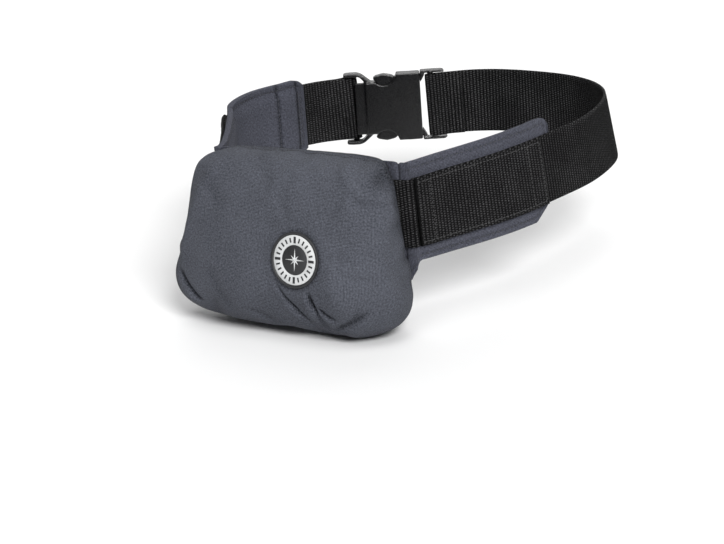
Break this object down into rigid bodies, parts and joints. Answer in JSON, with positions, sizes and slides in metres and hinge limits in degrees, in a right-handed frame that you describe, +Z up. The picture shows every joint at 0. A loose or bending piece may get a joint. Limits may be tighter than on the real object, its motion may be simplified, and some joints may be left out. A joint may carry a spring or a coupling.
{
  "type": "inflatable belt pack",
  "caption": "Padded fabric pouch on a webbing waist belt with side wing pads, a side-release buckle and a round badge, holding its worn form.",
  "frame": {"origin": "middle of the waist, at the webbing's mid height, on the pouch's middle plane", "axes": "+Z up the wearer's body, +Y from the pouch towards the buckle, +X to the pack's right as the picture shows it"},
  "size_m": [0.2965, 0.3496, 0.1291],
  "materials": {
    "cover_fabric": "woven, matt",
    "pad_fabric": "woven, matt",
    "webbing": "ribbed weave, matt",
    "buckle_plastic": "moulded, satin",
    "badge_rubber": "moulded, matt"
  },
  "bodies": {
    "root": {"belt_webbing": "webbing", "right_webbing_layer": "webbing", "left_webbing_layer": "webbing", "right_wing_pad": "pad_fabric", "left_wing_pad": "pad_fabric", "back_panel": "pad_fabric", "pouch_cover": "cover_fabric", "badge": "badge_rubber", "buckle_socket": "buckle_plastic", "buckle_prongs": "buckle_plastic"}
  },
  "joints": []
}
